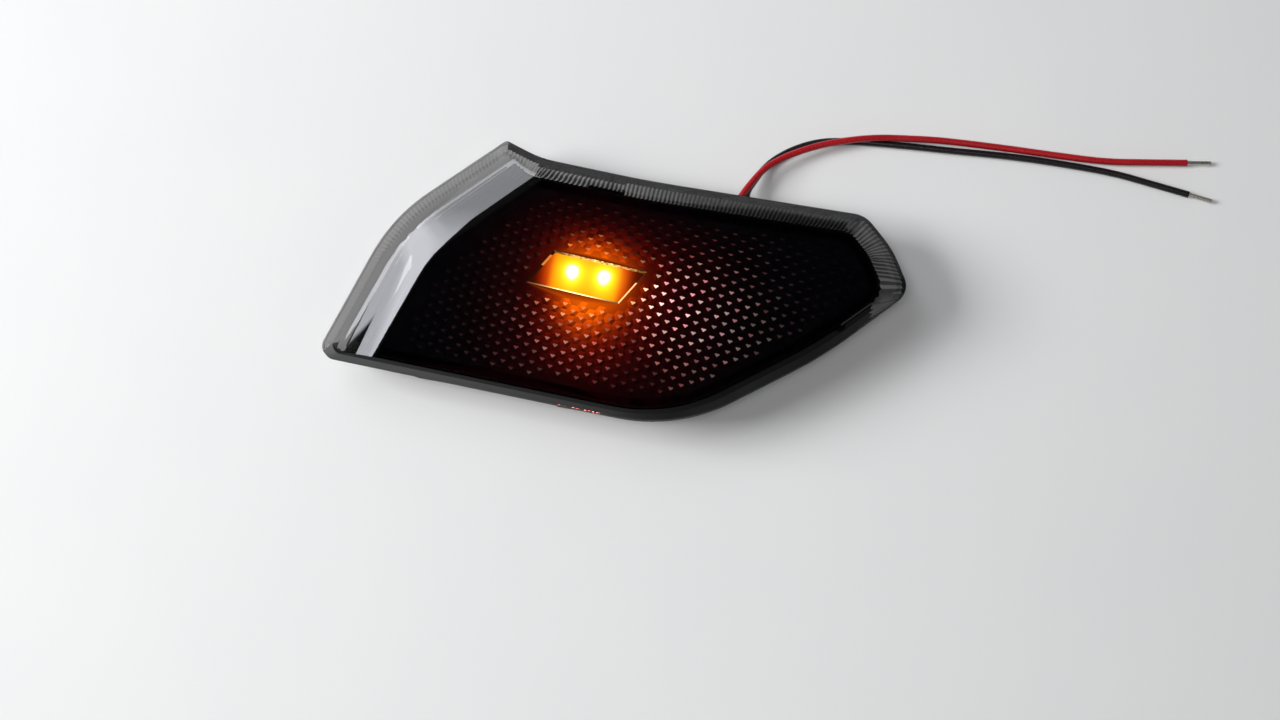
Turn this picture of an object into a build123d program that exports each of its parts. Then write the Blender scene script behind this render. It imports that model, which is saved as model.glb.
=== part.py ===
from build123d import *
import math
import os

# A side repeater lamp: smoked lens, black housing, two amber diodes on a board, two loose leads.
# Millimetres. The lamp lies on the flat back of its housing, +Z out of the face, +X along it.

# Rim outline, clockwise from the upper left horn: x, y, corner radius at the rim and at the face
HORN = (-34.2, 31.5, 1.2, 0.9)
TOP_DIP = (-24.9, 28.5, 25.0, 15.0)
TOP_HOLLOW = (2.1, 27.5, 300.0, 300.0)
UPPER_RIGHT = (57.0, 28.3, 7.0, 6.0)
RIGHT_SHOULDER = (65.0, 20.9, 25.0, 12.0)
RIGHT_TIP = (71.0, 11.0, 5.0, 6.0)
LOWER_SIDE = (51.8, -8.7, 110.0, 105.0)
LOWER_RIGHT = (20.3, -32.6, 43.0, 40.0)
LOWER_LEFT = (-70.1, -30.0, 3.0, 2.0)
LEFT_BEND = (-58.4, 7.3, 44.0, 38.0)

# Plan width of the sloping skirt on each side
SKIRT_TOP = 5.4
SKIRT_UPPER_RIGHT = 6.0
SKIRT_RIGHT = 6.3
SKIRT_LOWER_RIGHT = 2.6
SKIRT_BOTTOM = 1.4
SKIRT_LEFT = 5.0
SKIRT_UPPER_LEFT = 5.2

# Lens heights and walls
RIM_Z = 11.0
LIP_HEIGHT = 3.0
SKIRT_RISE = 5.5
FACE_WALL = 2.2
LIP_WALL = 1.1
LIP_INSIDE = 1.2
CEILING_INSET = 0.6
CEILING_DRAFT = 0.25
SMALLEST_CORNER = 0.5

# Flutes moulded inside the skirt, left out along the lower right and the bottom
FLUTE_PITCH = 1.06
FLUTE_DEPTH = 0.32
FLUTE_SHOULDER = 0.1
PLAIN_PITCH = 4.0

# The face rolls over towards the left side
ROLL_RADIUS = 30.0
ROLL_WIDTH = 9.3
ROLL_REACH = 8.0
LEFT_REACH = 16.0

# Clear window moulded behind the face, turned with the optics
OPTICS_TURN = -3.3
WINDOW_CENTRE = (-8.1, 0.0)
WINDOW_LENGTH = 23.6
WINDOW_SIDE = 10.8
WINDOW_SLANT = 62.0
WINDOW_DEPTH = 1.5
WINDOW_CHAMFER = 0.5

# Housing
SEAL = 0.5
HOUSING_CLEARANCE = 0.6
HOUSING_WALL = 1.8
HOUSING_FLOOR = 2.0
HOUSING_DRAFT = 1.6
HOUSING_BAND = 3.0
SHELF_INSET = 0.3
SHELF_THICKNESS = 1.2
BACK_POCKET_DEPTH = 0.8
BACK_BORDER = 4.0
BACK_RIB = 2.4
BACK_RIB_PLACES = (-36.0, -8.0, 20.0)

# Hook tab at the top edge and its gussets
HOOK_LEFT = -25.2
HOOK_RIGHT = -2.8
HOOK_OVERHANG = 1.4
HOOK_THICKNESS = 2.4
HOOK_CORNER = 1.4
PANEL_GAP = 2.5
HOOK_NOTCH = (1.6, 1.2)
GUSSET_WIDTH = 1.6
GUSSET_COUNT = 3
GUSSET_INSET = 2.4

# Snap clips at the bottom edge
CLIP_PLACES = (-42.0, -6.0)
CLIP_WIDTH = 8.0
CLIP_ARM = 1.2
CLIP_FLEX_GAP = 0.8
CLIP_NOSE = 0.7
CLIP_RAMP = 2.1
CLIP_FOOT = 2.2

# Board on its posts
BOARD_CENTRE = (-6.9, 0.9)
BOARD_SIZE = (30.0, 14.0)
BOARD_THICKNESS = 1.6
BOARD_CORNER = 1.0
POST_HEIGHT = 1.4
POST_RADIUS = 2.6
PEG_RADIUS = 1.0
PEG_CLEARANCE = 0.05
PEG_PROUD = 0.8
PEG_INSET = 2.5
TONGUE_WIDTH = 5.2
TONGUE_BORDER = 1.0

# Components on the board
LED_CENTRE = (-8.5, 3.1)
LED_PITCH = 7.75
LED_SIZE = 5.0
LED_HEIGHT = 1.6
LED_CUP_TOP = 2.1
LED_CUP_FLOOR = 1.7
LED_CUP_DEPTH = 0.7
RESISTOR_SIZE = (6.3, 3.1, 0.6)
RESISTOR_Y = -3.2
DIODE_SIZE = (4.3, 2.6, 2.1)
DIODE_PLACE = (1.4, -3.4)

# Leads and their rubber outlet in the top wall
WIRE = 1.7
BORE_CLEARANCE = 0.05
WIRE_SPACING = 2.2
PAD_Y = 3.6
PAD_SIZE = 2.0
PAD_HEIGHT = 1.3
OUTLET_X = 26.0
OUTLET_FACE = 5.2
BOSS_WIDTH = 13.0
BOSS_TOP = 10.0
BOSS_INSIDE = 3.0
PLUG_SIZE = (6.2, 2.9)
PLUG_CLEARANCE = 0.05
FLANGE_BORDER = 0.4
FLANGE_THICKNESS = 1.4
NOSE_LENGTH = 3.0
NOSE_TAPER = 5.0

# Routes of the two free leads, from a short straight run at the outlet to their stripped ends
EXIT_RUN = 5.2
TABLE_CLEARANCE = 0.01
ON_TABLE = WIRE / 2 + TABLE_CLEARANCE
RED_ROUTE = [
    (29.6, 41.2, 4.6),
    (48.0, 50.9, 2.9),
    (86.0, 55.3, ON_TABLE),
    (116.0, 56.4, ON_TABLE),
    (136.5, 59.8, ON_TABLE),
]
BLACK_ROUTE = [
    (31.4, 39.8, 1.7),
    (48.6, 49.3, ON_TABLE),
    (86.0, 53.1, ON_TABLE),
    (118.0, 53.9, ON_TABLE),
    (138.0, 51.6, ON_TABLE),
]
RUN_SHARE = 0.45
TIP_LENGTH = 6.0
TIP = 1.1

# Levels that follow from the sizes above
LIP_Z = RIM_Z + LIP_HEIGHT
FACE_Z = LIP_Z + SKIRT_RISE
CEILING_Z = FACE_Z - FACE_WALL
HOUSING_TOP = CEILING_Z - SEAL
BAND_Z = HOUSING_TOP - HOUSING_BAND
BOARD_Z = HOUSING_FLOOR + POST_HEIGHT
BOARD_TOP = BOARD_Z + BOARD_THICKNESS
OUTLET_Z = BOARD_TOP + WIRE / 2
SHELF_Z = RIM_Z - SHELF_THICKNESS
HOOK_TOP = SHELF_Z - PANEL_GAP
PEG_PLACES = [
    (BOARD_CENTRE[0] - BOARD_SIZE[0] / 2 + PEG_INSET, BOARD_CENTRE[1]),
    (BOARD_CENTRE[0] + BOARD_SIZE[0] / 2 - PEG_INSET, BOARD_CENTRE[1]),
]

RIM = [
    HORN,
    TOP_DIP,
    TOP_HOLLOW,
    UPPER_RIGHT,
    RIGHT_SHOULDER,
    RIGHT_TIP,
    LOWER_SIDE,
    LOWER_RIGHT,
    LOWER_LEFT,
    LEFT_BEND,
]
SKIRTS = [
    SKIRT_TOP,
    SKIRT_TOP,
    SKIRT_TOP,
    SKIRT_UPPER_RIGHT,
    SKIRT_RIGHT,
    SKIRT_LOWER_RIGHT,
    SKIRT_LOWER_RIGHT,
    SKIRT_BOTTOM,
    SKIRT_LEFT,
    SKIRT_UPPER_LEFT,
]
HOOK_SIDE = RIM.index(TOP_DIP)
OUTLET_SIDE = RIM.index(TOP_HOLLOW)
BOTTOM_SIDE = RIM.index(LOWER_RIGHT)
LEFT_SIDE = RIM.index(LOWER_LEFT)
PLAIN_EDGES = range(2 * RIM.index(RIGHT_TIP) + 1, 2 * LEFT_SIDE)
COUNT = len(RIM)
STANDING = (Align.CENTER, Align.CENTER, Align.MIN)


def heading(start, end):
    """Unit direction in plan from one corner to the next."""
    return (Vector(end[0], end[1]) - Vector(start[0], start[1])).normalized()


def turn_at(corners, i):
    """Signed turn at a corner, positive where the outline is convex."""
    before = heading(corners[i - 1], corners[i])
    after = heading(corners[i], corners[(i + 1) % COUNT])
    return -math.atan2(before.X * after.Y - before.Y * after.X, before.dot(after))


def inset(corners, distances, radii):
    """Corners of the outline whose sides lie further in by one distance each."""
    moved = []
    for i, corner in enumerate(corners):
        before = heading(corners[i - 1], corner)
        after = heading(corner, corners[(i + 1) % COUNT])
        in_before = Vector(before.Y, -before.X) * distances[i - 1]
        in_after = Vector(after.Y, -after.X) * distances[i]
        here = Vector(corner[0], corner[1])
        gap = (here + in_after) - (here + in_before)
        cross = before.X * after.Y - before.Y * after.X
        along = (gap.X * after.Y - gap.Y * after.X) / cross
        point = here + in_before + before * along
        moved.append((point.X, point.Y, radii[i]))
    return moved


def inner_radii(corners, radii, distances):
    """Corner radii of an inset outline: smaller on convex corners, larger on hollow ones."""
    result = []
    for i, radius in enumerate(radii):
        step = (distances[i - 1] + distances[i]) / 2
        grown = radius - step if turn_at(corners, i) > 0 else radius + step
        result.append(max(grown, SMALLEST_CORNER))
    return result


def parallel(corners, distance):
    """The outline a constant distance further in."""
    steps = [distance] * COUNT
    return inset(corners, steps, inner_radii(corners, [c[2] for c in corners], steps))


def outline_edges(corners, z):
    """Arcs and lines of an outline in order, one arc then one line for each corner."""
    arcs = []
    for i, corner in enumerate(corners):
        before = heading(corners[i - 1], corner)
        after = heading(corner, corners[(i + 1) % COUNT])
        setback = corner[2] * math.tan(abs(turn_at(corners, i)) / 2)
        here = Vector(corner[0], corner[1], z)
        arcs.append((here - before * setback, before, here + after * setback))
    edges = []
    for i, (start, tangent, end) in enumerate(arcs):
        edges.append(Edge.make_tangent_arc(start, tangent, end))
        edges.append(Edge.make_line(end, arcs[(i + 1) % COUNT][0]))
    return edges


def outline_wire(corners, z):
    return Wire(outline_edges(corners, z))


def prism(corners, z_low, z_high):
    return extrude(Face(outline_wire(corners, z_low)), z_high - z_low, dir=(0, 0, 1))


def tapered(low_corners, z_low, high_corners, z_high):
    wires = [outline_wire(low_corners, z_low), outline_wire(high_corners, z_high)]
    return Solid.make_loft(wires, ruled=True)


def side_y(corners, side, x):
    """Where one side of an outline lies at a given x."""
    start = corners[side]
    end = corners[(side + 1) % COUNT]
    return start[1] + (end[1] - start[1]) * (x - start[0]) / (end[0] - start[0])


# Outlines
CREASE = inset(RIM, SKIRTS, [corner[3] for corner in RIM])
FLUTE_FOOT = parallel(RIM, LIP_WALL + FLUTE_DEPTH + FLUTE_SHOULDER)
CEILING_STEPS = [
    max(CEILING_INSET, LIP_WALL + FLUTE_DEPTH + FLUTE_SHOULDER + CEILING_DRAFT - skirt) for skirt in SKIRTS
]
CEILING = inset(CREASE, CEILING_STEPS, inner_radii(CREASE, [c[2] for c in CREASE], CEILING_STEPS))
HOUSING_RIM = parallel(CEILING, HOUSING_CLEARANCE)
HOUSING_BASE = parallel(HOUSING_RIM, HOUSING_DRAFT)


def fluted_wire(corners, counts, z):
    """Loop along the outline, with ridges a flute's depth outside it on the fluted stretches."""
    points = []
    for i, edge in enumerate(outline_edges(corners, z)):
        for k in range(counts[i]):
            points.append(edge.position_at(k / counts[i]))
            if i in PLAIN_EDGES:
                continue
            middle = (k + 0.5) / counts[i]
            tangent = edge.tangent_at(middle)
            points.append(edge.position_at(middle) + Vector(-tangent.Y, tangent.X) * FLUTE_DEPTH)
    return Wire.make_polygon(points, close=True)


def fluted_cavity():
    """Hollow behind the skirt, with as many flutes or plain steps on each stretch as its length holds."""
    counts = []
    for i, edge in enumerate(outline_edges(FLUTE_FOOT, 0)):
        pitch = PLAIN_PITCH if i in PLAIN_EDGES else FLUTE_PITCH
        counts.append(max(1, round(edge.length / pitch)))
    low = fluted_wire(FLUTE_FOOT, counts, RIM_Z + LIP_INSIDE)
    high = fluted_wire(CEILING, counts, CEILING_Z)
    return Solid.make_loft([low, high], ruled=True).fix()


def left_line(outline, z):
    """Start, bend and end of an outline's two left sides, drawn on past its corners."""
    corners = outline[LEFT_SIDE:] + outline[:1]
    start, bend, end = [Vector(corner[0], corner[1], z) for corner in corners]
    first = heading(corners[0], corners[1])
    last = heading(corners[1], corners[2])
    return start - first * LEFT_REACH, bend, end + last * LEFT_REACH


def roll_over(wall):
    """What the face's roll-over takes off along the left side, a wall's thickness below the face."""
    start, bend, end = left_line(CREASE, FACE_Z)
    first = (bend - start).normalized()
    path = FilletPolyline(start, bend, end, radius=[CREASE[-1][2]])
    section = Plane(origin=start, x_dir=(-first.Y, first.X, 0), z_dir=first)
    radius = ROLL_RADIUS - wall
    reach = ROLL_WIDTH + ROLL_REACH
    drop = math.sqrt(radius**2 - reach**2)
    crown = (-ROLL_WIDTH, -wall)
    middle = math.asin(reach / radius) / 2
    halfway = (radius * math.sin(middle) - ROLL_WIDTH, radius * math.cos(middle) - ROLL_RADIUS)
    foot = (ROLL_REACH, drop - ROLL_RADIUS)
    outer = ThreePointArc(crown, halfway, foot)
    edge = Polyline(foot, (ROLL_REACH, ROLL_REACH), (-ROLL_WIDTH, ROLL_REACH), crown)
    return sweep(section * make_face([outer, edge]), path=path)


def window_block():
    """Clear slanted block behind the face, in front of the diodes."""
    slant = math.radians(WINDOW_SLANT)
    lean = WINDOW_SIDE * math.cos(slant) / 2
    half = WINDOW_SIDE * math.sin(slant) / 2
    corners = [
        (-WINDOW_LENGTH / 2 - lean, -half),
        (WINDOW_LENGTH / 2 - lean, -half),
        (WINDOW_LENGTH / 2 + lean, half),
        (-WINDOW_LENGTH / 2 + lean, half),
    ]
    block = extrude(make_face(Polyline(*corners, close=True)), WINDOW_DEPTH)
    block = chamfer(block.faces().sort_by(Axis.Z)[0].edges(), WINDOW_CHAMFER)
    return Pos(*WINDOW_CENTRE, CEILING_Z - WINDOW_DEPTH) * Rot(0, 0, OPTICS_TURN) * block


def make_lens():
    shell = prism(RIM, RIM_Z, LIP_Z) + tapered(RIM, LIP_Z, CREASE, FACE_Z)
    shell -= roll_over(0)
    shell -= prism(parallel(RIM, LIP_WALL), RIM_Z, RIM_Z + LIP_INSIDE)
    shell -= fluted_cavity() - roll_over(FACE_WALL)
    return shell + window_block()


def wall_y(side, x, z):
    """Outer face of the drafted housing wall on one side, at a given x and height."""
    base = side_y(HOUSING_BASE, side, x)
    return base + (side_y(HOUSING_RIM, side, x) - base) * z / BAND_Z


def hook_tab():
    root_y = side_y(HOUSING_BASE, HOOK_SIDE, HOOK_RIGHT)
    tip_y = side_y(RIM, HOOK_SIDE, HOOK_RIGHT) + HOOK_OVERHANG
    length = HOOK_RIGHT - HOOK_LEFT
    middle = (HOOK_LEFT + HOOK_RIGHT) / 2
    corner = (Align.CENTER, Align.MIN, Align.MAX)
    tab = Pos(middle, root_y, HOOK_TOP) * Box(length, tip_y - root_y, HOOK_THICKNESS, align=corner)
    tab = fillet(tab.edges().filter_by(Axis.Z).group_by(Axis.Y)[-1], HOOK_CORNER)
    notch = Box(*HOOK_NOTCH, HOOK_THICKNESS, align=(Align.MAX, Align.MAX, Align.MAX))
    tab -= Pos(HOOK_RIGHT, tip_y, HOOK_TOP) * notch
    low_z = HOOK_TOP - HOOK_THICKNESS
    gusset = Polyline((root_y, 0), (tip_y - HOOK_THICKNESS, low_z), (root_y, low_z), close=True)
    rib = extrude(Plane.YZ * make_face(gusset), GUSSET_WIDTH / 2, both=True)
    step = (length - 2 * GUSSET_INSET) / (GUSSET_COUNT - 1)
    for k in range(GUSSET_COUNT):
        tab += Pos(HOOK_LEFT + GUSSET_INSET + k * step, 0, 0) * rib
    return tab


def snap_clip(x):
    """Springy arm that stands off the bottom wall, with a nose that catches the panel's edge."""
    root_y = side_y(HOUSING_BASE, BOTTOM_SIDE, x)
    slack_y = wall_y(BOTTOM_SIDE, x, HOOK_TOP) - CLIP_FLEX_GAP
    arm_y = slack_y - CLIP_ARM
    nose_y = arm_y - CLIP_NOSE
    outline = Polyline(
        (root_y, CLIP_FOOT),
        (slack_y, CLIP_FOOT),
        (slack_y, HOOK_TOP),
        (arm_y, HOOK_TOP),
        (nose_y, HOOK_TOP - CLIP_NOSE),
        (arm_y, HOOK_TOP - CLIP_RAMP),
        (arm_y, CLIP_FOOT - CLIP_ARM),
        (root_y, CLIP_FOOT - CLIP_ARM),
        close=True,
    )
    return Pos(x, 0, 0) * extrude(Plane.YZ * make_face(outline), CLIP_WIDTH / 2, both=True)


def outlet_y():
    """Outer face of the boss that holds the rubber outlet."""
    return side_y(RIM, OUTLET_SIDE, OUTLET_X) - OUTLET_FACE


def boss_length():
    """Length of the boss, from its outer face to its end inside the housing's foot."""
    foot = side_y(HOUSING_BASE, OUTLET_SIDE, OUTLET_X)
    return outlet_y() - foot + HOUSING_WALL + BOSS_INSIDE


def outlet_boss():
    low_z = HOUSING_FLOOR / 2
    corner = (Align.CENTER, Align.MAX, Align.MIN)
    block = Box(BOSS_WIDTH, boss_length(), BOSS_TOP - low_z, align=corner)
    return Pos(OUTLET_X, outlet_y(), low_z) * block


def outlet_slot(size, y):
    """Oblong section of the outlet, facing along Y."""
    return Plane(origin=(OUTLET_X, y, OUTLET_Z), x_dir=(1, 0, 0), z_dir=(0, 1, 0)) * SlotOverall(*size)


def slot_prism(size, y_low, y_high):
    """Oblong bar along Y, centred on the outlet."""
    return extrude(outlet_slot(size, y_low), y_high - y_low)


def back_pockets():
    """Shallow recesses that leave a border and cross ribs on the flat back."""
    field = prism(parallel(HOUSING_BASE, BACK_BORDER), 0, BACK_POCKET_DEPTH)
    width = field.bounding_box().size.Y
    for x in BACK_RIB_PLACES:
        field -= Pos(x, 0, 0) * Box(BACK_RIB, 2 * width, 2 * BACK_POCKET_DEPTH)
    return field


def rim_shelf():
    """Shelf that carries the lens's rim, left open along the two left sides."""
    shelf = prism(parallel(RIM, SHELF_INSET), SHELF_Z, RIM_Z)
    start, bend, end = left_line(HOUSING_RIM, SHELF_Z)
    outside = LOWER_LEFT[0] - LEFT_REACH
    opening = Polyline(start, bend, end, (outside, end.Y, SHELF_Z), (outside, start.Y, SHELF_Z), close=True)
    return shelf - extrude(make_face(opening), SHELF_THICKNESS, dir=(0, 0, 1))


def make_housing():
    tray = tapered(HOUSING_BASE, 0, HOUSING_RIM, BAND_Z) + prism(HOUSING_RIM, BAND_Z, HOUSING_TOP)
    tray += rim_shelf()
    tray += hook_tab()
    for x in CLIP_PLACES:
        tray += snap_clip(x)
    inside = parallel(HOUSING_RIM, HOUSING_WALL)
    tray -= tapered(parallel(HOUSING_BASE, HOUSING_WALL), HOUSING_FLOOR, inside, BAND_Z)
    tray -= prism(inside, BAND_Z, HOUSING_TOP)
    tray -= roll_over(FACE_WALL + SEAL)
    hole = (PLUG_SIZE[0] + 2 * PLUG_CLEARANCE, PLUG_SIZE[1] + 2 * PLUG_CLEARANCE)
    tray += outlet_boss()
    tray -= slot_prism(hole, outlet_y() - boss_length(), outlet_y())
    post = Cylinder(POST_RADIUS, POST_HEIGHT, align=STANDING)
    peg_height = POST_HEIGHT + BOARD_THICKNESS + PEG_PROUD
    peg = Cylinder(PEG_RADIUS, peg_height, align=STANDING)
    for place in PEG_PLACES:
        tray += Pos(*place, HOUSING_FLOOR) * (post + peg)
    return tray - back_pockets()


def make_seal(housing):
    """Bead of sealant that fills the gap between the housing's edge and the lens."""
    inside = parallel(HOUSING_RIM, HOUSING_WALL)
    ring = prism(HOUSING_RIM, BAND_Z, CEILING_Z) - prism(inside, BAND_Z, CEILING_Z)
    return ring - roll_over(FACE_WALL) - housing


def make_board():
    board = Pos(*BOARD_CENTRE, BOARD_Z) * Box(*BOARD_SIZE, BOARD_THICKNESS, align=STANDING)
    board = fillet(board.edges().filter_by(Axis.Z), BOARD_CORNER)
    tongue = OUTLET_X + (WIRE_SPACING + PAD_SIZE) / 2 + TONGUE_BORDER - BOARD_CENTRE[0]
    corner = (Align.MIN, Align.CENTER, Align.MIN)
    board += Pos(BOARD_CENTRE[0], PAD_Y, BOARD_Z) * Box(tongue, TONGUE_WIDTH, BOARD_THICKNESS, align=corner)
    hole = Cylinder(PEG_RADIUS + PEG_CLEARANCE, BOARD_THICKNESS, align=STANDING)
    for place in PEG_PLACES:
        board -= Pos(*place, BOARD_Z) * hole
    return board


def make_led(side):
    """Square diode package with a round cup in its top."""
    package = Box(LED_SIZE, LED_SIZE, LED_HEIGHT, align=STANDING)
    cup = Cone(LED_CUP_FLOOR, LED_CUP_TOP, LED_CUP_DEPTH, align=(Align.CENTER, Align.CENTER, Align.MAX))
    package -= Pos(0, 0, LED_HEIGHT) * cup
    return Pos(LED_CENTRE[0] + side * LED_PITCH / 2, LED_CENTRE[1], BOARD_TOP) * package


def on_board(size, x, y):
    return Pos(x, y, BOARD_TOP) * Box(*size, align=STANDING)


def tube(path, diameter):
    section = Plane(origin=path @ 0, z_dir=path % 0) * Circle(diameter / 2)
    return sweep(section, path=path)


def make_lead(side):
    """Lead inside the housing, from its soldered pad on the board's tongue straight through the outlet."""
    x = OUTLET_X + side * WIRE_SPACING / 2
    core = Rot(-90, 0, 0) * Cylinder(WIRE / 2, nose_y() - PAD_Y, align=STANDING)
    joint = Box(PAD_SIZE, PAD_SIZE, PAD_HEIGHT, align=STANDING)
    return Pos(x, PAD_Y, OUTLET_Z) * core + Pos(x, PAD_Y, BOARD_TOP) * joint


def nose_y():
    """Outer end of the rubber outlet, where the free leads start."""
    return outlet_y() + FLANGE_THICKNESS + NOSE_LENGTH


def make_grommet():
    flange = (PLUG_SIZE[0] + 2 * FLANGE_BORDER, PLUG_SIZE[1] + 2 * FLANGE_BORDER)
    inside = outlet_y() - boss_length()
    body = slot_prism(PLUG_SIZE, inside - FLANGE_THICKNESS, outlet_y() + FLANGE_THICKNESS)
    body += slot_prism(flange, inside - FLANGE_THICKNESS, inside)
    body += slot_prism(flange, outlet_y(), outlet_y() + FLANGE_THICKNESS)
    nose_root = outlet_slot(PLUG_SIZE, outlet_y() + FLANGE_THICKNESS)
    body += extrude(nose_root, NOSE_LENGTH, taper=NOSE_TAPER)
    bore_length = 2 * (boss_length() + FLANGE_THICKNESS)
    bore = Rot(90, 0, 0) * Cylinder(WIRE / 2 + BORE_CLEARANCE, bore_length)
    for side in (-1, 1):
        body -= Pos(OUTLET_X + side * WIRE_SPACING / 2, outlet_y(), OUTLET_Z) * bore
    return body


def make_wire(name, side, route):
    """Free lead from the outlet along its route, and the stripped tip on its end."""
    start = Vector(OUTLET_X + side * WIRE_SPACING / 2, nose_y(), OUTLET_Z)
    points = [start, start + Vector(0, EXIT_RUN, 0)] + [Vector(*point) for point in route]
    radii = []
    for before, here, after in zip(points, points[1:], points[2:]):
        turn = math.radians((here - before).get_angle(after - here))
        shorter = min((here - before).length, (after - here).length)
        radii.append(RUN_SHARE * shorter / math.tan(turn / 2))
    path = FilletPolyline(*points, radius=radii)
    wire = tube(path, WIRE)
    expected = math.pi * WIRE**2 / 4 * path.length
    print(name, "radii", [round(radius, 1) for radius in radii], "length", round(path.length, 1))
    print(name, "volume", round(wire.volume, 2), "section x length", round(expected, 2))
    end = Plane(origin=path @ 1, z_dir=path % 1)
    return wire, extrude(end * Circle(TIP / 2), TIP_LENGTH)


housing = make_housing()
parts = {
    "lens": make_lens(),
    "housing": housing,
    "seal_bead": make_seal(housing),
    "led_board": make_board(),
    "led_left": make_led(-1),
    "led_right": make_led(1),
    "resistor_left": on_board(RESISTOR_SIZE, LED_CENTRE[0] - LED_PITCH / 2, RESISTOR_Y),
    "resistor_right": on_board(RESISTOR_SIZE, LED_CENTRE[0] + LED_PITCH / 2, RESISTOR_Y),
    "polarity_diode": on_board(DIODE_SIZE, *DIODE_PLACE),
    "grommet": make_grommet(),
    "lead_red": make_lead(-1),
    "lead_black": make_lead(1),
}
parts["wire_red"], parts["tip_red"] = make_wire("wire_red", -1, RED_ROUTE)
parts["wire_black"], parts["tip_black"] = make_wire("wire_black", 1, BLACK_ROUTE)

os.makedirs("parts", exist_ok=True)
for node, shape in parts.items():
    export_step(shape, f"parts/{node}.step")
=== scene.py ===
import math
import random

import bmesh
import bpy
import numpy as np
from mathutils import Matrix, Vector


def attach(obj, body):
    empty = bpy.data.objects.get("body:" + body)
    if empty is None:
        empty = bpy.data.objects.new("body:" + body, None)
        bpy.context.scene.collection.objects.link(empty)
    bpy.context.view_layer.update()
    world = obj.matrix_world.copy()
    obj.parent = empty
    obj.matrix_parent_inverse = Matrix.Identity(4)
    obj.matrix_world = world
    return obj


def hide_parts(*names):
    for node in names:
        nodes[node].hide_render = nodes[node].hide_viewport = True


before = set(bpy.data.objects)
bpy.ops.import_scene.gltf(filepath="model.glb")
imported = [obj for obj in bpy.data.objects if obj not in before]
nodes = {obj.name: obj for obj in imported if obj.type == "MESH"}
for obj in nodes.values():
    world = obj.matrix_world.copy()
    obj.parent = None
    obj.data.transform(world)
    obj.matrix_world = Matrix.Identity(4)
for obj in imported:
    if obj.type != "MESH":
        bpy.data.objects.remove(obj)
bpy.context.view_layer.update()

MM = 0.001
scene = bpy.context.scene
scene.view_settings.view_transform = "Standard"


def axes_at(place, x, y, z):
    """Matrix of a frame at a place, from its three axes."""
    return Matrix.Translation(place) @ Matrix((x, y, z)).transposed().to_4x4()


def add_object(name, data):
    thing = bpy.data.objects.new(name, data)
    scene.collection.objects.link(thing)
    return thing


# Camera at the photograph's angle
CAMERA_PLACE = Vector((24.38, -106.75, 528.77)) * MM
CAMERA_TURN = math.radians(10.15)
CAMERA_RISE = math.radians(80.0)
FOCAL_LENGTH = 60.0
SENSOR_WIDTH = 36.0


def build_camera():
    data = bpy.data.cameras.new("camera")
    data.lens = FOCAL_LENGTH
    data.sensor_width = SENSOR_WIDTH
    data.clip_start = 0.01
    right = Vector((math.cos(CAMERA_TURN), math.sin(CAMERA_TURN), 0))
    back = Vector((
        math.sin(CAMERA_TURN) * math.cos(CAMERA_RISE),
        -math.cos(CAMERA_TURN) * math.cos(CAMERA_RISE),
        math.sin(CAMERA_RISE),
    ))
    camera = add_object("camera", data)
    camera.matrix_world = axes_at(CAMERA_PLACE, right, back.cross(right), back)
    scene.camera = camera


build_camera()


# Helpers for the nodes of materials, lights and the world
PAINT = "lit"
NOISE_LOW = 0.3
NOISE_HIGH = 0.7


def new_material(name, **sockets):
    material = bpy.data.materials.new(name)
    material.use_nodes = True
    shader = material.node_tree.nodes["Principled BSDF"]
    for socket, value in sockets.items():
        shader.inputs[socket.replace("_", " ")].default_value = value
    return material


def add_node(holder, kind, inputs=None, **settings):
    node = holder.node_tree.nodes.new(kind)
    for setting, value in settings.items():
        setattr(node, setting, value)
    for socket, value in (inputs or {}).items():
        node.inputs[socket].default_value = value
    return node


def link(holder, output, socket):
    holder.node_tree.links.new(output, socket)


def feed(material, output, *sockets):
    """Link an output to sockets of the material's main shader."""
    shader = material.node_tree.nodes["Principled BSDF"]
    for socket in sockets:
        link(material, output, shader.inputs[socket])


def calculate(holder, operation, *values, clamp=False):
    node = add_node(holder, "ShaderNodeMath", operation=operation, use_clamp=clamp)
    for socket, value in zip(node.inputs, values):
        if isinstance(value, (int, float)):
            socket.default_value = value
        else:
            link(holder, value, socket)
    return node.outputs["Value"]


def ramp(holder, factor, stops):
    node = add_node(holder, "ShaderNodeValToRGB")
    elements = node.color_ramp.elements
    while len(elements) < len(stops):
        elements.new(0.5)
    for element, (place, colour) in zip(elements, stops):
        element.position = place
        element.color = (*colour, 1.0)
    link(holder, factor, node.inputs["Fac"])
    return node.outputs["Color"]


def grey(value):
    return (value, value, value)


def noise(material, size):
    """Noise in the object's own frame, with spots of a size in metres."""
    node = add_node(material, "ShaderNodeTexNoise", {"Scale": 1 / size, "Detail": 3.0})
    link(material, add_node(material, "ShaderNodeTexCoord").outputs["Object"], node.inputs["Vector"])
    return node.outputs["Fac"]


def mottled(material, factor, one, two):
    """Colours that change from one to two with a noise."""
    return ramp(material, factor, [(NOISE_LOW, one), (NOISE_HIGH, two)])


def bump(material, height, depth):
    node = add_node(material, "ShaderNodeBump", {"Strength": 1.0, "Distance": depth})
    link(material, height, node.inputs["Height"])
    feed(material, node.outputs["Normal"], "Normal")


def painted(material):
    """The colour that a mesh holds in its faces."""
    return add_node(material, "ShaderNodeVertexColor", layer_name=PAINT).outputs["Color"]


def moulded(name, tones, rough, grain, depth, **sockets):
    """Plastic or rubber with a fine moulded grain and, between two tones, slow changes of colour."""
    material = new_material(name, **sockets)
    if tones:
        feed(material, mottled(material, noise(material, 6 * MM), *tones), "Base Color")
    fine = noise(material, grain)
    feed(material, mottled(material, fine, *map(grey, rough)), "Roughness")
    bump(material, fine, depth)
    return material


def dress(names, material):
    for name in names:
        nodes[name].data.materials.clear()
        nodes[name].data.materials.append(material)


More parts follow.
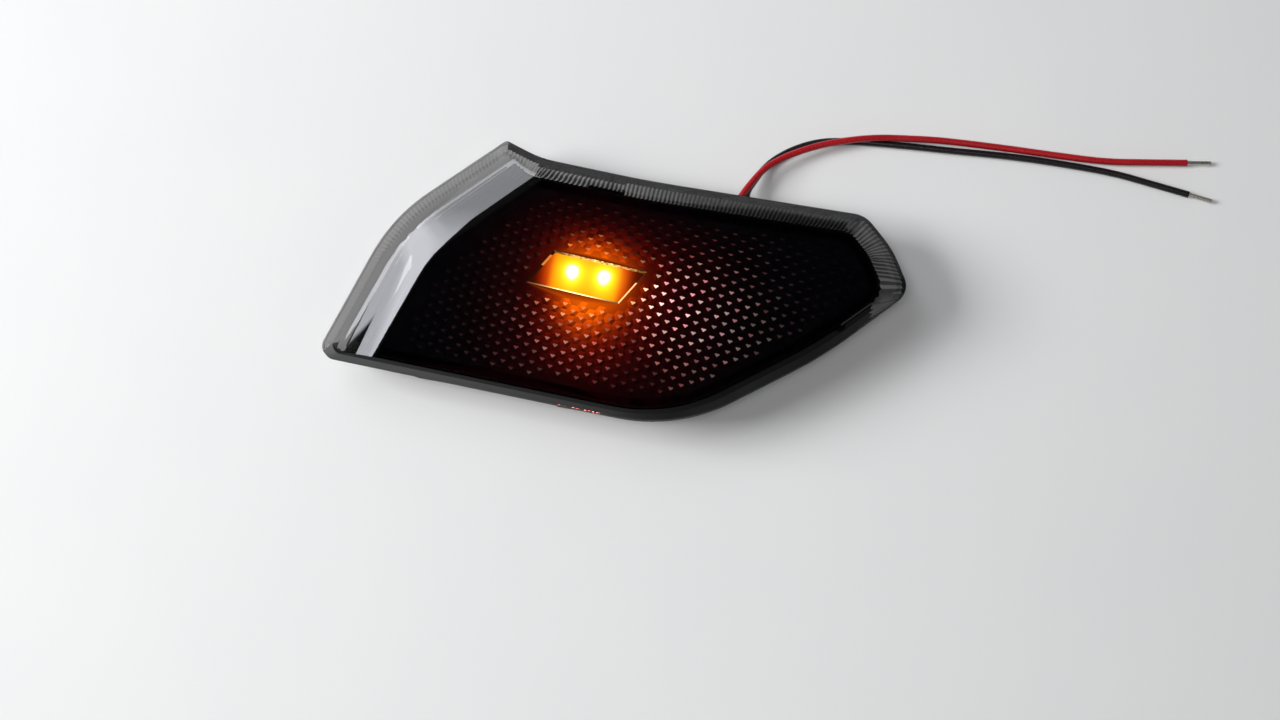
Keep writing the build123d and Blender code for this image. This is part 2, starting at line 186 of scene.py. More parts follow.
# Floor
FLOOR_HALF = 3.0
FLOOR_TONES = ((0.855, 0.86, 0.862), (0.87, 0.872, 0.872))


def build_floor():
    corners = [(x * FLOOR_HALF, y * FLOOR_HALF, 0) for x, y in ((-1, -1), (1, -1), (1, 1), (-1, 1))]
    mesh = bpy.data.meshes.new("floor")
    mesh.from_pydata(corners, [], [(0, 1, 2, 3)])
    material = new_material("floor_white", Roughness=0.55)
    feed(material, mottled(material, noise(material, 40 * MM), *FLOOR_TONES), "Base Color")
    mesh.materials.append(material)
    return add_object("floor", mesh)


floor = build_floor()


# Studio light, in metres and degrees
LIGHT_AIM = Vector((0.0, 0.0, 0.015))
PANEL_ZENITH = 34.0
PANEL_AZIMUTH = 143.0
PANEL_OFFSET = (-0.065, 0.035)


def area_light(name, zenith, azimuth, size, distance, radiance, colour, offset=(0, 0)):
    """Rectangle of light, sized across and up, that faces the lamp from a direction."""
    data = bpy.data.lights.new(name, "AREA")
    data.shape = "RECTANGLE"
    data.size, data.size_y = size
    data.energy = radiance * math.pi * data.size * data.size_y
    data.color = colour
    tilt, turn = math.radians(zenith), math.radians(azimuth)
    towards = Vector((math.sin(tilt) * math.cos(turn), math.sin(tilt) * math.sin(turn), math.cos(tilt)))
    across = Vector((-math.sin(turn), math.cos(turn), 0))
    up = towards.cross(across)
    place = LIGHT_AIM + towards * distance + across * offset[0] + up * offset[1]
    light = add_object(name, data)
    light.matrix_world = axes_at(place, across, up, towards)
    return light


# Outline of the panel that the lens's left side mirrors, in centimetres
CM_PER_M = 100
EDGE_STEEP = (1.55, 37.5)
EDGE_SHALLOW = (0.45, 25.4)
EDGE_TOP = 29.0
WEDGE_Y = 0.8
WEDGE_SIDES = (0.5, 11.4)
FALL_ALONG = (0.025, 0.5)
FALL = [
    (0.0, 0.34), (0.17, 0.36), (0.27, 0.52), (0.35, 0.74),
    (0.425, 0.96), (0.58, 0.96), (0.7, 0.66), (1.0, 0.58),
]


def shape_panel(light):
    """Slanted inner edge, a wedge cut into one end and a fall of light along the panel."""
    data = light.data
    data.use_nodes = True
    split = add_node(data, "ShaderNodeSeparateXYZ")
    link(data, add_node(data, "ShaderNodeNewGeometry").outputs["Parametric"], split.inputs["Vector"])

    def centimetres(axis, size, offset):
        return calculate(data, "MULTIPLY_ADD", split.outputs[axis], CM_PER_M * size, CM_PER_M * (offset - size / 2))

    x = centimetres("X", data.size, PANEL_OFFSET[0])
    y = centimetres("Y", data.size_y, PANEL_OFFSET[1])
    slopes = [calculate(data, "MULTIPLY_ADD", x, *line) for line in (EDGE_STEEP, EDGE_SHALLOW)]
    edge = calculate(data, "MINIMUM", EDGE_TOP, calculate(data, "MAXIMUM", *slopes))
    inner = calculate(data, "SUBTRACT", edge, y, clamp=True)
    off_wedge = calculate(data, "ABSOLUTE", calculate(data, "SUBTRACT", y, WEDGE_Y))
    tip = calculate(data, "MULTIPLY_ADD", off_wedge, *WEDGE_SIDES)
    wedge = calculate(data, "SUBTRACT", tip, x, clamp=True)
    along = calculate(data, "MULTIPLY_ADD", x, *FALL_ALONG)
    emission = data.node_tree.nodes["Emission"]
    link(data, ramp(data, along, [(place, grey(tone)) for place, tone in FALL]), emission.inputs["Color"])
    link(data, calculate(data, "MULTIPLY", inner, wedge), emission.inputs["Strength"])


panel = area_light(
    "panel", PANEL_ZENITH, PANEL_AZIMUTH, size=(0.55, 0.53), distance=0.9, radiance=3.2,
    colour=(0.92, 0.935, 1.0), offset=PANEL_OFFSET,
)
shape_panel(panel)
area_light(
    "streak", PANEL_ZENITH, PANEL_AZIMUTH, size=(0.03, 0.1), distance=0.89, radiance=1.1,
    colour=(1.0, 1.0, 1.0), offset=(0.04, 0.07),
)
left_key = area_light(
    "left_key", 56.0, 184.0, size=(0.5, 0.5), distance=1.1, radiance=15.0, colour=(1.0, 1.0, 0.99),
)
# The lens's flat face would show this light as a white mirror image from the right
left_key.visible_glossy = False
area_light(
    "overhead", 12.0, 262.0, size=(0.36, 0.26), distance=1.0, radiance=6.4, colour=(1.0, 0.995, 0.985),
)


# Room that is pale near the horizon and dark overhead
def build_room():
    world = bpy.data.worlds.new("room")
    world.use_nodes = True
    split = add_node(world, "ShaderNodeSeparateXYZ")
    link(world, add_node(world, "ShaderNodeTexCoord").outputs["Generated"], split.inputs["Vector"])
    colour = ramp(world, split.outputs["Z"], [(0.55, (0.18, 0.182, 0.187)), (0.85, (0.012, 0.012, 0.013))])
    background = world.node_tree.nodes["Background"]
    background.inputs["Strength"].default_value = 1.0
    link(world, colour, background.inputs["Color"])
    scene.world = world


build_room()


# Free leads, on the routes of the part's two tubes, in millimetres
LEAD_DIAMETER = 1.7
NOSE_Y = 27.048
NOSE_Z = 5.85
LYING = 0.86
LEADS = {
    "red": [
        (24.9, NOSE_Y, NOSE_Z), (25.97, 30.25, 5.5), (28.13, 34.6, 4.9), (30.64, 38.72, 4.2),
        (34.81, 42.41, 3.4), (39.48, 45.33, 3.0), (43.88, 47.54, 2.9), (47.63, 48.99, 2.8),
        (53.29, 50.95, 2.4), (59.06, 52.46, 1.85), (66.83, 53.58, 1.6), (74.67, 54.64, 1.1),
        (91, 55.5, LYING), (103, 55.85, LYING), (116, 56.4, LYING), (126.2, 58.1, LYING), (136.5, 59.8, LYING),
    ],
    "black": [
        (27.1, NOSE_Y, NOSE_Z), (27.3, 29.4, 4.6), (27.2, 32.2, 3.2), (28.44, 35.04, 2.4),
        (30.66, 39.79, 1.6), (34.09, 43.51, 1.0), (38.51, 46.6, LYING), (43.08, 48.71, LYING),
        (47.32, 49.76, LYING), (53.42, 50.51, LYING), (59.39, 51.09, LYING), (67.21, 51.74, LYING),
        (75.07, 52.23, LYING), (91, 53.5, LYING), (103, 53.9, LYING), (118, 53.9, LYING),
        (128, 52.75, LYING), (138, 51.6, LYING),
    ],
}


def spline_object(name, points, radius):
    data = bpy.data.curves.new(name, "CURVE")
    data.dimensions = "3D"
    data.bevel_depth = radius
    data.bevel_resolution = 5
    data.resolution_u = 8
    data.use_fill_caps = True
    spline = data.splines.new("NURBS")
    spline.points.add(len(points) - 1)
    for point, place in zip(spline.points, points):
        point.co = (*(Vector(place) * MM), 1.0)
    spline.order_u = 3
    spline.use_endpoint_u = True
    return add_object(name, data)


def insulation(name, dark, light):
    material = new_material(name, Specular_IOR_Level=0.5)
    feed(material, ramp(material, noise(material, 9 * MM), [(0.25, dark), (0.75, light)]), "Base Color")
    scuff = noise(material, 0.35 * MM)
    feed(material, ramp(material, scuff, [(0.35, grey(0.24)), (0.7, grey(0.4))]), "Roughness")
    bump(material, scuff, 0.012 * MM)
    return material


def tinned_copper():
    material = new_material("tinned_copper", Metallic=1.0)
    tone = noise(material, 0.5 * MM)
    feed(material, mottled(material, tone, (0.5, 0.46, 0.4), (0.78, 0.76, 0.72)), "Base Color")
    feed(material, mottled(material, tone, grey(0.28), grey(0.42)), "Roughness")
    return material


red_insulation = insulation("red_insulation", (0.36, 0.006, 0.012), (0.46, 0.009, 0.014))
black_insulation = insulation("black_insulation", (0.004, 0.003, 0.004), (0.009, 0.007, 0.009))
dress(["lead_red", "lead_black"], black_insulation)
dress(["tip_red", "tip_black"], tinned_copper())

for colour, material in (("red", red_insulation), ("black", black_insulation)):
    route = LEADS[colour]
    lead = spline_object(f"free_lead_{colour}", route, LEAD_DIAMETER / 2 * MM)
    lead.data.materials.append(material)
    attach(lead, "root")
    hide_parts(f"wire_{colour}")


# Lens: heights of the part's moulding, in millimetres
LIP_Z = 11.0
LEDGE_Z = 12.2
SKIRT_Z = 14.0
WINDOW_Z = 15.8
CEILING_Z = 17.3
FACE_Z = 19.5
CHAMFER = 0.6
ROLL_OVER_Z = 17.0
SLACK = 0.01

# Lens: its outline, numbered by side from the horn clockwise
RIM = [
    (-34.2, 31.5), (-24.9, 28.5), (2.1, 27.5), (57.0, 28.3), (65.0, 20.9),
    (71.0, 11.0), (51.8, -8.7), (20.3, -32.6), (-70.1, -30.0), (-58.4, 7.3),
]
HORN_SIDE = 0
TOP_SIDES = (0, 1, 2)
LOWER_SIDES = (5, 6, 7)
LEFT_SIDES = (8, 9)

# Lens: the light source and the window in front of it
LIGHT_CENTRE = Vector((-7.8, 1.0))
LED_PITCH = 7.9
WINDOW_CENTRE = Vector((-8.1, 0.0))
WINDOW_LENGTH = 23.6
WINDOW_HALF = 4.77
WINDOW_LEAN = 0.532
LEAN_SQUARE = 0.88
WINDOW_REACH = 22
WINDOW_CUTS = (((1, 0), 60, 0.6), ((0, 1), 30, 0.5))
OPTICS_TURN = math.radians(-3.3)

# Lens: field of small prisms on the inside of its face
DOT_PITCH = 2.648
DOT_ORIGIN = Vector((20.65, 1.39))
DOT_FRAME = Matrix.Rotation(math.radians(-3.04), 2)
DOT_DROP = 0.5
FIELD_STEPS = 60
FIELD_HALF = Vector((75, 35))
EDGE_MARGIN = 2.4
ROLL_MARGIN = 0.4
ROLL_REACH = 11.5
WINDOW_MARGIN = 0.35
GLINT = [(-0.66, 0.2), (-0.33, 0.38), (0.0, 0.27), (0.33, 0.38), (0.66, 0.2), (0.0, -0.5)]
SQUEEZE = 0.45

# Lens: light of the prisms, by distance and by angle from the light source
GLINT_REACH = [
    (6, 1.1), (12, 1.0), (15, 0.95), (21, 0.78), (27, 0.5), (33, 0.24), (39, 0.14), (45, 0.045), (51, 0.011),
    (58, 0.0),
]
GLINT_FAN = [
    (-180, 0.015), (-165, 0.03), (-150, 0.06), (-130, 0.18), (-110, 0.3), (-90, 0.34), (-70, 0.34), (-62, 0.16),
    (-52, 0.16), (-42, 0.36), (-30, 0.6), (-10, 1.0), (10, 0.5), (22, 0.15), (34, 0.03), (50, 0.015), (180, 0.02),
]
GLINT_PALE = [
    (-180, 0.2), (-150, 0.3), (-130, 0.45), (-110, 0.55), (-90, 0.35), (-70, 0.08), (-50, 0.08), (-32, 0.85),
    (-10, 1.0), (10, 0.75), (30, 0.2), (180, 0.2),
]
GLINT_GAIN = 1.6
FAN_ABOVE = (7, 13)
FAN_BELOW = (10, 18)
PALE_FROM = (4, 14)
PALER_FROM = (22, 34)
BLUE_FROM = (8, 20)
DIM_ANGLE = -45
DIM_FROM = (14, 28)
SPLASH = Vector((1.2, 0.288, 0.036))
SPLASH_END = (6.5, 11.5)
FAINT = Vector(grey(0.003))

# Lens: glow round the light source, as logarithms of its red by distance
GLOW_CENTRE = Vector((-7.2, -1.1))
GLOW_REACH = [
    (0, -0.05), (5, -0.14), (7.4, -0.42), (10, -1.0), (12, -1.6), (14, -2.3), (16, -2.9), (18.5, -3.5), (21, -4.1),
    (25, -4.96), (30, -5.4), (35, -6.3), (45, -8.0), (90, -12.0),
]
LAND_GLOW = 0.8

# Lens: white cores of the diodes, their halo and the box of light behind the window
CORE = (0.4, 2.3)
CORE_WHITE = (0.4, 2.0)
CORE_GREEN = 1.65
HALO_GREEN = 0.65
HALO_FALL = 0.62
BOX_GREEN = 0.25
BOX_SHIFT = 0.6
BOX_END = (7.0, 9.4)
WINDOW_END = (9.2, 12.5)

# Lens: painted light and shade of the skirt, lighter on the left where the key light falls, by place along x
PAINTED_FLUTE_LIGHT = [(-34, 1.0), (-20, 1.0), (0, 0.6), (15, 0.2), (40, 0.09), (57, 0.16)]
FOOT_Z = 13.6
HOOK_Z = 14.5
ROLL_Z = 16.3
HOOK_LEFT = -25.2
HOOK_RIGHT = -2.8
WALL_REACH = 7
LOWER_FLUTES = 58
PAINTED_EDGE_SHADE = [
    (-65, 0.1), (-30, 0.075), (0, 0.04), (12, 0.012), (18, 0.006), (26, 0.02), (35, 0.025), (50, 0.012), (68, 0.03),
]
EDGE_END = 62
EDGE_LINE_Z = 17.2

# Lens: red sparks on the bottom lip
SPARK_LEFT = -9.4
SPARK_RIGHT = 1.1
SPARK_STEP = 0.5
SPARK_Z = 13.3
SPARK = Vector((0.9, 0.2, 0.16))
BOTTOM_Y = -29.5

# Lens: light that is left on its way through the smoke, per millimetre below the face
THROUGH = 0.92
SMOKE = 0.38

# Lens: its material slots
CLEAR, OPTICS, FLUTES, EDGES = range(4)


# Helpers for the lens's form
def flat_faces(form, height):
    return [face for face in form.faces if all(abs(vert.co.z - height * MM) < 2e-6 for vert in face.verts)]


def heights(face):
    """Lowest and highest corner of a face, in millimetres."""
    levels = [vert.co.z / MM for vert in face.verts]
    return min(levels), max(levels)


def closed_loops(edges):
    """The edges as closed rings of vertices."""
    around = {}
    for edge in edges:
        for vert in edge.verts:
            around.setdefault(vert, []).append(edge)
    left = set(edges)
    rings = []
    while left:
        edge = min(left, key=lambda item: item.index)
        left.discard(edge)
        start, here = edge.verts
        ring = [start]
        while here is not start:
            ring.append(here)
            edge = next(item for item in around[here] if item in left)
            left.discard(edge)
            here = edge.other_vert(here)
        rings.append(ring)
    return rings


def ring_points(ring):
    return np.array([(vert.co.x, vert.co.y) for vert in ring]) / MM


def ring_area(ring):
    xs, ys = ring_points(ring).T
    return 0.5 * abs(np.dot(xs, np.roll(ys, -1)) - np.dot(ys, np.roll(xs, -1)))


def inside(points, polygon):
    x, y = points[:, 0, None], points[:, 1, None]
    ax, ay = polygon[:, 0], polygon[:, 1]
    bx, by = np.roll(ax, -1), np.roll(ay, -1)
    crosses = ((ay > y) != (by > y)) & (x < (bx - ax) * (y - ay) / np.where(by == ay, 1e-9, by - ay) + ax)
    return crosses.sum(1) % 2 == 1


def distance(points, starts, ends):
    """Distance of each point from each segment."""
    along = ends - starts
    rel = points[:, None, :] - starts[None]
    share = np.clip((rel * along).sum(2) / np.maximum((along**2).sum(1), 1e-12), 0, 1)
    return np.linalg.norm(rel - share[..., None] * along, axis=2)


def from_outline(points, outline):
    """Distance of each point from each side of a closed outline."""
    return distance(points, outline, np.roll(outline, -1, axis=0))


def cut(form, faces, place, normal):
    """Divide some faces along a plane."""
    geom = [*faces, *(edge for face in faces for edge in face.edges), *(vert for face in faces for vert in face.verts)]
    bmesh.ops.bisect_plane(form, geom=list(dict.fromkeys(geom)), dist=1e-7, plane_co=place, plane_no=normal)


def smooth(value, low, high):
    share = min(max((value - low) / (high - low), 0.0), 1.0)
    return share * share * (3 - 2 * share)


def bell(value, centre, width):
    return math.exp(-0.5 * ((value - centre) / width) ** 2)


def table(value, stops):
    """Number at a value along (value, number) stops, straight in between."""
    places, numbers = zip(*stops)
    return float(np.interp(value, places, numbers))


def heading(degrees):
    """Direction in the turned frame of the prism field."""
    angle = math.radians(degrees)
    return DOT_FRAME @ Vector((math.cos(angle), math.sin(angle)))


# Painted light and shade that the lens holds in its faces
def glint_colour(place, chance):
    """Light that one prism sends out of the face, by its place round the light source."""
    away = place - LIGHT_CENTRE
    reach = away.length
    angle = math.degrees(math.atan2(away.y, away.x))
    fan = smooth(reach, *(FAN_ABOVE if away.y > 0 else FAN_BELOW))
    share = table(angle, GLINT_FAN) ** (0.4 + 0.6 * fan)
    tone = GLINT_GAIN * table(reach, GLINT_REACH) * share * (0.55 + 0.9 * chance)
    if angle < DIM_ANGLE:
        tone *= 1 - 0.65 * smooth(reach, *DIM_FROM)
    hue = (chance * 7.3) % 1.0
    pale = table(angle, GLINT_PALE) * smooth(reach, *PALE_FROM)
    green = (0.19 + 0.31 * pale + 0.14 * smooth(reach, *PALER_FROM) * pale) * (0.65 + 0.7 * hue)
    blue = green * (0.3 + 0.7 * smooth(reach, *BLUE_FROM) * (0.7 + 0.5 * pale * (1 - hue)))
    splash = SPLASH * hue * (1 - smooth(reach, *SPLASH_END))
    return Vector((tone, tone * green, tone * blue)) + splash + FAINT


def glow_colour(place):
    """Amber light scattered inside the lens round the light source."""
    away = place - GLOW_CENTRE
    x = away.x * (1.0 if away.x > 0 else 1.3)
    y = away.y * (0.72 + 0.04 * away.y if away.y > 0 else 0.88)
    red = math.exp(table(math.hypot(x, y), GLOW_REACH))
    return Vector((red, 0.15 * red**1.5, 0.0004))


def window_colour(place):
    """The window in front of the two diodes: white cores in a yellow and orange box of light."""
    aside = abs(place.x - LIGHT_CENTRE.x + BOX_SHIFT)
    green = BOX_GREEN * (1 - smooth(aside, *BOX_END))
    blue = 0.0
    for side in (-1, 1):
        away = place - LIGHT_CENTRE - Vector((side * LED_PITCH / 2, 0))
        gap = math.hypot(away.x, away.y * (0.72 if away.y < 0 else 1.0))
        halo = math.exp(-HALO_FALL * max(gap - CORE[1], 0))
        green += CORE_GREEN * (1 - smooth(gap, *CORE)) + HALO_GREEN * halo
        blue += 2.0 * (1 - smooth(gap, *CORE_WHITE)) + 0.05 * math.exp(-gap / 2)
    red = 1.02 * (1 - math.exp(-5.5 * green**0.68)) + max(green - 0.9, 0)
    return Vector((red, green, blue)) * (1 - 0.7 * smooth(aside, *WINDOW_END))


def window_edge_colour(place, chance):
    """Bright lines where the window's edges catch the light."""
    local = Matrix.Rotation(-OPTICS_TURN, 2) @ (place - WINDOW_CENTRE)
    along = local.x - local.y * WINDOW_LEAN
    gaps = {
        "lower": WINDOW_HALF + local.y,
        "upper": WINDOW_HALF - local.y,
        "right": LEAN_SQUARE * (WINDOW_LENGTH / 2 - along),
        "left": LEAN_SQUARE * (WINDOW_LENGTH / 2 + along),
    }
    side = min(gaps, key=gaps.get)
    if side == "lower":
        return Vector((2.4, 1.5, 0.6)) * (0.02 + 1.3 * bell(along, 0.4, 4.2))
    if side == "upper":
        return Vector((2.4, 1.0, 0.25)) * (0.02 + (0.15 + 1.1 * chance) * bell(along, 0, 5.0))
    if side == "right":
        return Vector((1.9, 0.9, 0.35)) * (0.9 if -4.4 < local.y < 1.6 else 0.02)
    return Vector((0.9, 0.28, 0.04)) * (0.8 if 0.5 < local.y < 3.6 else 0.02)


def flute_light_and_shade(face, place, side, gap):
    """Painted light and shade, as a grey, of one face of the flutes: one flank of each flute is painted bright and the
    other dim, the left flutes lightest, and some are dark at the foot.
    """
    level = sum(heights(face)) / 2
    inward = Vector((min(max(place[0], -30), 45), 4)) - Vector(place)
    bright = inward.x * face.normal.y - inward.y * face.normal.x > 0
    if gap > WALL_REACH or side in LEFT_SIDES and level > ROLL_Z:
        return 0.004
    if side in LEFT_SIDES:
        return 0.98 if bright else 0.8
    if side in TOP_SIDES:
        # The hook tab makes a dark bar behind the flutes
        if level <= (HOOK_Z if HOOK_LEFT < place[0] < HOOK_RIGHT else FOOT_Z):
            return 0.006
        dim = 0.8 if side == HORN_SIDE else 0.12
        return table(place[0], PAINTED_FLUTE_LIGHT) * (1.0 if bright else dim)
    return (0.42 if bright else 0.12) * (1.0 if level > FOOT_Z else 0.7)


def left_through(height):
    """Share of light that the smoke leaves on its way from a height to the face."""
    return THROUGH * math.exp(SMOKE * (height - FACE_Z))


def held_colour(kind, value, corner):
    """What a face holds at one corner. Light is held brighter, to make up for the smoke."""
    place = Vector((corner.x, corner.y)) / MM
    if kind == "edge":
        return Vector(grey(table(place.x, PAINTED_EDGE_SHADE) * value))
    if kind in ("flute", "coat", "dark"):
        return Vector(grey(value))
    if kind == "glow":
        value = glow_colour(place) * value
    elif kind == "window":
        value = window_colour(place)
    return value / left_through(corner.z / MM)


# Steps that make the lens
def open_ceiling(form):
    """Take out the flat ceiling. The rings it leaves open are the window's and the outer one."""
    bmesh.ops.delete(form, geom=flat_faces(form, CEILING_Z), context="FACES_ONLY")
    form.edges.index_update()
    open_edges = [edge for edge in form.edges if len(edge.link_faces) == 1]
    loose = [edge for edge in form.edges if not edge.link_faces]
    bmesh.ops.delete(form, geom=loose, context="EDGES")
    form.edges.index_update()
    return sorted(closed_loops(open_edges), key=ring_area)[-2:]


def prism_centres(window, ceiling, spokes):
    """Places of all prisms that fit between the window and the ceiling's edge."""
    one, two = heading(30) * DOT_PITCH, heading(90) * DOT_PITCH
    steps = range(-FIELD_STEPS, FIELD_STEPS)
    centres = [DOT_ORIGIN + one * i + two * j for i in steps for j in steps]
    centres = [centre for centre in centres if abs(centre.x) < FIELD_HALF.x and abs(centre.y) < FIELD_HALF.y]
    corners = np.array([tuple(centre + spoke) for centre in centres for spoke in spokes])
    left = np.array([RIM[side] for side in LEFT_SIDES] + RIM[:1])
    middles = (ceiling + np.roll(ceiling, -1, axis=0)) / 2
    rolled = distance(middles, left[:-1], left[1:]).min(1) < ROLL_REACH
    margins = np.where(rolled, ROLL_MARGIN, EDGE_MARGIN)
    fits = inside(corners, ceiling) & (from_outline(corners, ceiling) > margins).all(1)
    fits &= ~inside(corners, window) & (from_outline(corners, window).min(1) > WINDOW_MARGIN)
    return [centre for centre, good in zip(centres, fits.reshape(-1, len(spokes)).all(1)) if good]


def add_prisms(form, centres, spokes, chance):
    """One prism at each centre: a six-sided foot in the ceiling and, below it, the small face that glints."""
    lit = {}
    feet = {}

    def foot(place):
        key = (round(place.x, 2), round(place.y, 2))
        if key not in feet:
            feet[key] = form.verts.new((place.x * MM, place.y * MM, CEILING_Z * MM))
        return feet[key]

    for centre in centres:
        away = centre - LIGHT_CENTRE
        glint = glint_colour(centre, chance.random())
        squeeze = 1.0 - SQUEEZE * smooth(away.y + 0.12 * away.length, 2, 16)
        outer = [foot(centre + spoke) for spoke in spokes]
        tip = []
        for x, y in GLINT:
            place = centre + DOT_FRAME @ Vector((x, y * squeeze))
            tip.append(form.verts.new((place.x * MM, place.y * MM, (CEILING_Z - DOT_DROP) * MM)))
        # The foot's corners run from +X anticlockwise, the glint's from its upper left clockwise
        flanks = [
            [outer[0], outer[1], tip[3], tip[4]],
            [outer[1], outer[2], tip[1], tip[2], tip[3]],
            [outer[2], outer[3], tip[0], tip[1]],
            [outer[3], outer[4], tip[5], tip[0]],
            [outer[4], outer[5], tip[5]],
            [outer[5], outer[0], tip[4], tip[5]],
        ]
        for corners, spoke in zip(flanks, spokes):
            facing = away.normalized() @ spoke.normalized()
            lit[form.faces.new(corners)] = ("glow", 0.75 - 0.45 * facing + 0.5 * chance.random())
        lit[form.faces.new(tip)] = ("glint", glint)
    return lit


def fill_land(form, lit, window_ring, ceiling_ring):
    """Flat land from the prisms to the window and to the ceiling's edge."""
    rims = dict.fromkeys(edge for face in lit for edge in face.edges if len(edge.link_faces) == 1)
    form.edges.index_update()
    inner, outer = sorted(closed_loops(list(rims)), key=ring_area)[-2:]
    for pair in ((ceiling_ring, outer), (inner, window_ring)):
        edges = [form.edges.get(ends) for ring in pair for ends in zip(ring, ring[1:] + ring[:1])]
        made = bmesh.ops.triangle_fill(form, use_beauty=True, edges=edges, normal=(0, 0, -1))
        for face in made["geom"]:
            if isinstance(face, bmesh.types.BMFace):
                lit[face] = ("glow", LAND_GLOW)


def window_faces(form):
    """The window's lower face with its chamfers."""
    return [
        face for face in form.faces
        if all(WINDOW_Z - SLACK < vert.co.z / MM < WINDOW_Z + CHAMFER for vert in face.verts)
        and (face.calc_center_median().xy / MM - LIGHT_CENTRE).length < WINDOW_REACH
    ]


def divide_window(form, lit):
    """Divide the window finely, so that its light is smooth."""
    for axis, count, step in WINDOW_CUTS:
        normal = Matrix.Rotation(OPTICS_TURN, 2) @ Vector(axis)
        for k in range(-count, count + 1):
            place = LIGHT_CENTRE + normal * k * step
            cut(form, window_faces(form), (place.x * MM, place.y * MM, 0), (*normal, 0))
    for face in flat_faces(form, WINDOW_Z):
        lit[face] = ("window", 1.0)


def divide_skirt(form, lit):
    """Divide the skirt and the bottom lip where their tone changes."""
    def steep_faces(low, high):
        return [
            face for face in form.faces
            if all(low - 2 * SLACK < vert.co.z / MM < high + 2 * SLACK for vert in face.verts)
            and abs(face.normal.z) < 0.95 and face not in lit
        ]

    def bottom_lip():
        return [face for face in steep_faces(LIP_Z, SKIRT_Z) if face.calc_center_median().y < BOTTOM_Y * MM]

    def cut_level(faces, height):
        cut(form, faces, (0, 0, height * MM), (0, 0, 1))

    for height in (FOOT_Z, HOOK_Z, ROLL_Z):
        cut_level(steep_faces(LEDGE_Z, CEILING_Z), height)
    cut_level(steep_faces(SKIRT_Z, FACE_Z), EDGE_LINE_Z)
    for k in range(round((SPARK_RIGHT - SPARK_LEFT) / SPARK_STEP) + 1):
        cut(form, bottom_lip(), ((SPARK_LEFT + SPARK_STEP * k) * MM, 0, 0), (1, 0, 0))
    cut_level(bottom_lip(), SPARK_Z)


def sort_faces(form, lit, chance):
    """Give each face its material, and the light or tone that it holds."""
    faces = list(form.faces)
    middles = np.array([face.calc_center_median() for face in faces])[:, :2] / MM
    for face, middle, gaps in zip(faces, middles, from_outline(middles, np.array(RIM))):
        x, side = middle[0], gaps.argmin()
        low, high = heights(face)
        flat = face.normal.z > 0.9
        by_window = (Vector(middle) - LIGHT_CENTRE).length < WINDOW_REACH and low > WINDOW_Z - SLACK
        inner = low > LEDGE_Z - 2 * SLACK and high < CEILING_Z + 2 * SLACK and face.normal.z < 0
        lip = high < SKIRT_Z + SLACK
        if face in lit or by_window and high < CEILING_Z + SLACK:
            face.material_index = OPTICS
        elif flat and ROLL_OVER_Z < low < FACE_Z - SLACK:
            lit[face] = ("coat", 1.0)
        elif high < LEDGE_Z + SLACK and side not in LEFT_SIDES:
            face.material_index = OPTICS
        elif inner and (side not in LOWER_SIDES or x > LOWER_FLUTES):
            face.material_index = FLUTES
            lit[face] = ("flute", flute_light_and_shade(face, middle, side, gaps.min()))
        elif side in LOWER_SIDES and x < EDGE_END and (lip or low > SKIRT_Z - SLACK and not flat):
            # The lower skirt is painted shade: darkest at the lip and darker along its top line
            face.material_index = EDGES
            lit[face] = ("edge", 0.05 if lip else 0.12 if low > EDGE_LINE_Z - 0.1 else 1.0)
            on_spark = SPARK_LEFT < x < SPARK_RIGHT and low > SPARK_Z - 0.1 and lip
            if on_spark and chance.random() < 0.5:
                face.material_index = OPTICS
                lit[face] = ("glint", SPARK * chance.random() ** 2)


def paint_faces(form, lit, chance):
    """Write what the faces hold into the mesh."""
    layer = form.loops.layers.float_color.new(PAINT)
    for face in form.faces:
        kind, value = lit.get(face, ("dark", 0.0))
        for loop in face.loops:
            loop[layer] = (*held_colour(kind, value, loop.vert.co), 1.0)
    for face in window_faces(form):
        low, high = heights(face)
        if high - low > 0.05:
            middle = face.calc_center_median() / MM
            colour = window_edge_colour(middle.xy, chance.random()) / left_through(middle.z)
            for loop in face.loops:
                loop[layer] = (*colour, 1.0)


def build_lens():
    """The part's own moulding, with the small optics on the inside of its face."""
    chance = random.Random(7)
    form = bmesh.new()
    form.from_mesh(nodes["lens"].data)
    bmesh.ops.remove_doubles(form, verts=form.verts, dist=1e-6)
    window_ring, ceiling_ring = open_ceiling(form)
    spokes = [heading(60 * k) * DOT_PITCH / math.sqrt(3) for k in range(6)]
    centres = prism_centres(ring_points(window_ring), ring_points(ceiling_ring), spokes)
    lit = add_prisms(form, centres, spokes, chance)
    fill_land(form, lit, window_ring, ceiling_ring)
    divide_window(form, lit)
    bmesh.ops.recalc_face_normals(form, faces=form.faces)
    divide_skirt(form, lit)
    sort_faces(form, lit, chance)
    paint_faces(form, lit, chance)
    mesh = bpy.data.meshes.new("lens_moulding")
    form.to_mesh(mesh)
    form.free()
    mesh.shade_smooth()
    mesh.set_sharp_from_angle(angle=math.radians(22))
    piece = add_object("lens_moulding", mesh)
    weighted = piece.modifiers.new("even_faces", "WEIGHTED_NORMAL")
    weighted.keep_sharp = True
    weighted.weight = 90
    return piece


# Materials of the lens, in the order of its slots
def smoked_acrylic():
    material = new_material(
        "smoked_acrylic",
        Base_Color=(1, 1, 1, 1),
        IOR=1.33,
        Transmission_Weight=1.0,
        Coat_IOR=2.5,
        Coat_Roughness=0.0,
    )
    feed(material, mottled(material, noise(material, 5 * MM), grey(0.0), grey(0.03)), "Roughness")
    feed(material, painted(material), "Coat Weight")
    smoke = add_node(material, "ShaderNodeVolumeAbsorption", {"Color": (0.12, 0.115, 0.11, 1), "Density": 420.0})
    link(material, smoke.outputs["Volume"], material.node_tree.nodes["Material Output"].inputs["Volume"])
    return material


def lit_optics():
    material = moulded(
        "lit_optics", (grey(0.002), grey(0.006)), (0.5, 0.7), 0.4 * MM, 0.005 * MM,
        Specular_IOR_Level=0.1, Emission_Strength=1.0,
    )
    feed(material, painted(material), "Emission Color")
    return material


